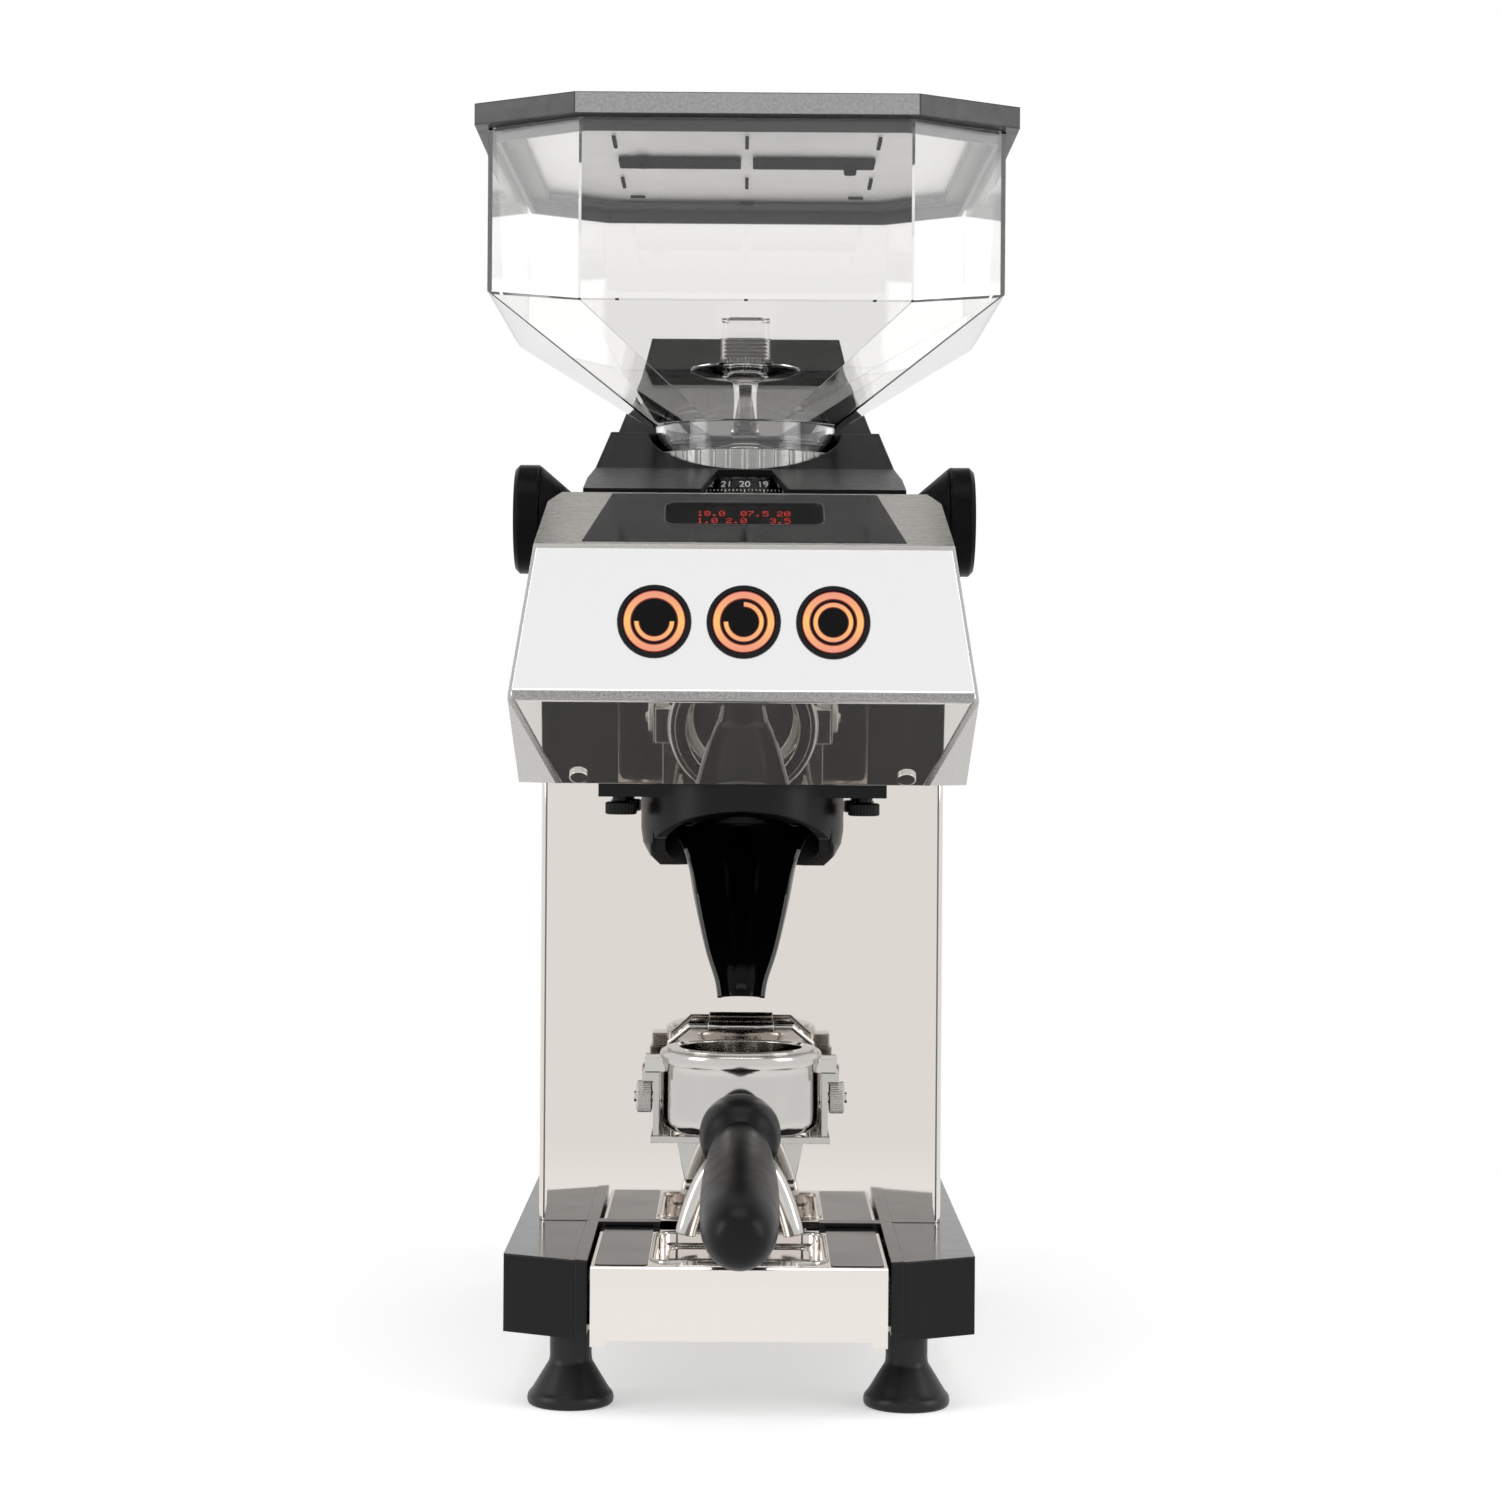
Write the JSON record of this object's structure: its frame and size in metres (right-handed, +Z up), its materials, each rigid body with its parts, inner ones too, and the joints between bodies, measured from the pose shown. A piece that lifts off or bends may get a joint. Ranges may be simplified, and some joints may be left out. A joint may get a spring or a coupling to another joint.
{
  "type": "burr coffee grinder",
  "caption": "Counter coffee grinder with clear hopper, dial collar, push-button panel and a fork that docks a portafilter under the spout.",
  "frame": {"origin": "on the worktop under the middle of the whole object's box", "axes": "+X to the right seen from the front, +Y to the back, +Z up"},
  "size_m": [0.254, 0.462, 0.5958],
  "materials": {
    "steel": "satin",
    "polished": "polished",
    "black": "satin",
    "gloss": "gloss",
    "clear": "clear",
    "alu": "cast",
    "iron": "dark",
    "rubber": "matt",
    "panel": "satin",
    "board": "board"
  },
  "bodies": {
    "chassis": {"base_plate": "steel", "left_base_moulding": "black", "right_base_moulding": "black", "left_rail": "black", "right_rail": "black", "rubber_feet": "rubber", "splash_panel": "polished", "column_shell": "steel", "rear_cover": "steel", "cable_gland": "black", "upper_housing": "steel", "control_panel": "panel", "button_bezels": "black", "underside_plate": "polished", "underside_screws": "polished", "display_overlay": "gloss", "display_module": "gloss", "top_cover": "black", "knob_bosses": "black", "motor_housing": "alu", "stator": "iron", "shaft_bearings": "steel", "motor_plate": "steel", "motor_brackets": "steel", "grinding_chamber": "alu", "outlet_chute": "alu", "start_capacitor": "gloss", "control_board": "board", "spout_mount": "black", "spout": "gloss", "fork_bracket": "polished", "guide_arms": "steel"},
    "tray": {"tray": "polished"},
    "rocker": {"mains_rocker": "gloss"},
    "left_button": {"left_button": "gloss"},
    "middle_button": {"middle_button": "gloss"},
    "right_button": {"right_button": "gloss"},
    "collar": {"adjusting_collar": "alu", "dial_ring": "black", "upper_burr": "steel"},
    "knobs": {"worm_shaft": "steel", "left_knob": "black", "right_knob": "black"},
    "hopper": {"hopper_body": "clear"},
    "gate": {"gate_plunger": "clear"},
    "lid": {"lid_frame": "black", "lid_panel": "clear"},
    "rotor": {"drive_shaft": "steel", "motor_rotor": "iron", "burr_carrier": "steel", "lower_burr": "steel"},
    "left_thumb_screw": {"left_thumb_screw": "black"},
    "right_thumb_screw": {"right_thumb_screw": "black"},
    "left_thumb_nut": {"left_thumb_nut": "steel"},
    "right_thumb_nut": {"right_thumb_nut": "steel"},
    "bail": {"hold_down_bail": "polished"},
    "bail_sleeve": {"bail_sleeve": "black"},
    "portafilter": {"portafilter_body": "polished", "filter_basket": "polished", "portafilter_handle": "black"}
  },
  "joints": [
    {"name": "tray_pull", "type": "slide", "parent": "chassis", "child": "tray", "axis": [0, -1, 0], "range_m": [0, 0.11]},
    {"name": "mains_rock", "type": "hinge", "parent": "chassis", "child": "rocker", "pos_m": [0.045, 0.223, 0.1], "axis": [1, 0, 0], "range_deg": [-6, 6]},
    {"name": "knob_turn", "type": "hinge", "parent": "chassis", "child": "knobs", "pos_m": [0, -0.019, 0.404], "axis": [1, 0, 0], "range_deg": [-1800, 1800]},
    {"name": "dial_turn", "type": "hinge", "parent": "chassis", "child": "collar", "pos_m": [0, 0.068, 0.404], "axis": [0, 0, 1], "range_deg": [-30, 30]},
    {"name": "hopper_lift", "type": "slide", "parent": "chassis", "child": "hopper", "axis": [0, 0, 1], "range_m": [0, 0.08]},
    {"name": "gate_lift", "type": "slide", "parent": "hopper", "child": "gate", "axis": [0, 0, 1], "range_m": [0, 0.03]},
    {"name": "lid_lift", "type": "slide", "parent": "hopper", "child": "lid", "axis": [0, 0, 1], "range_m": [0, 0.06]},
    {"name": "rotor_spin", "type": "hinge", "parent": "chassis", "child": "rotor", "pos_m": [0, 0.068, 0.3], "axis": [0, 0, 1], "continuous": true},
    {"name": "left_screw_turn", "type": "hinge", "parent": "chassis", "child": "left_thumb_screw", "pos_m": [-0.057, -0.031, 0.268], "axis": [0, 0, 1], "continuous": true},
    {"name": "right_screw_turn", "type": "hinge", "parent": "chassis", "child": "right_thumb_screw", "pos_m": [0.057, -0.031, 0.268], "axis": [0, 0, 1], "continuous": true},
    {"name": "left_nut_turn", "type": "hinge", "parent": "chassis", "child": "left_thumb_nut", "pos_m": [-0.044, -0.059, 0.136], "axis": [1, 0, 0], "continuous": true},
    {"name": "right_nut_turn", "type": "hinge", "parent": "chassis", "child": "right_thumb_nut", "pos_m": [0.044, -0.059, 0.136], "axis": [1, 0, 0], "continuous": true},
    {"name": "bail_swing", "type": "hinge", "parent": "chassis", "child": "bail", "pos_m": [0, -0.013, 0.126], "axis": [1, 0, 0], "range_deg": [-25, 0]},
    {"name": "sleeve_spin", "type": "hinge", "parent": "bail", "child": "bail_sleeve", "pos_m": [0, -0.0249, 0.165], "axis": [1, 0, 0], "continuous": true},
    {"name": "portafilter_pull", "type": "slide", "parent": "chassis", "child": "portafilter", "axis": [0, -1, 0], "range_m": [0, 0.12]},
    {"name": "left_press", "type": "slide", "parent": "chassis", "child": "left_button", "axis": [0, 0.9905, -0.1376], "range_m": [0, 0.0025], "stiffness_N_per_m": 400},
    {"name": "middle_press", "type": "slide", "parent": "chassis", "child": "middle_button", "axis": [0, 0.9905, -0.1376], "range_m": [0, 0.0025], "stiffness_N_per_m": 400},
    {"name": "right_press", "type": "slide", "parent": "chassis", "child": "right_button", "axis": [0, 0.9905, -0.1376], "range_m": [0, 0.0025], "stiffness_N_per_m": 400}
  ],
  "couplings": [
    {"joint": "dial_turn", "follows": "knob_turn", "ratio": 0.016667}
  ]
}
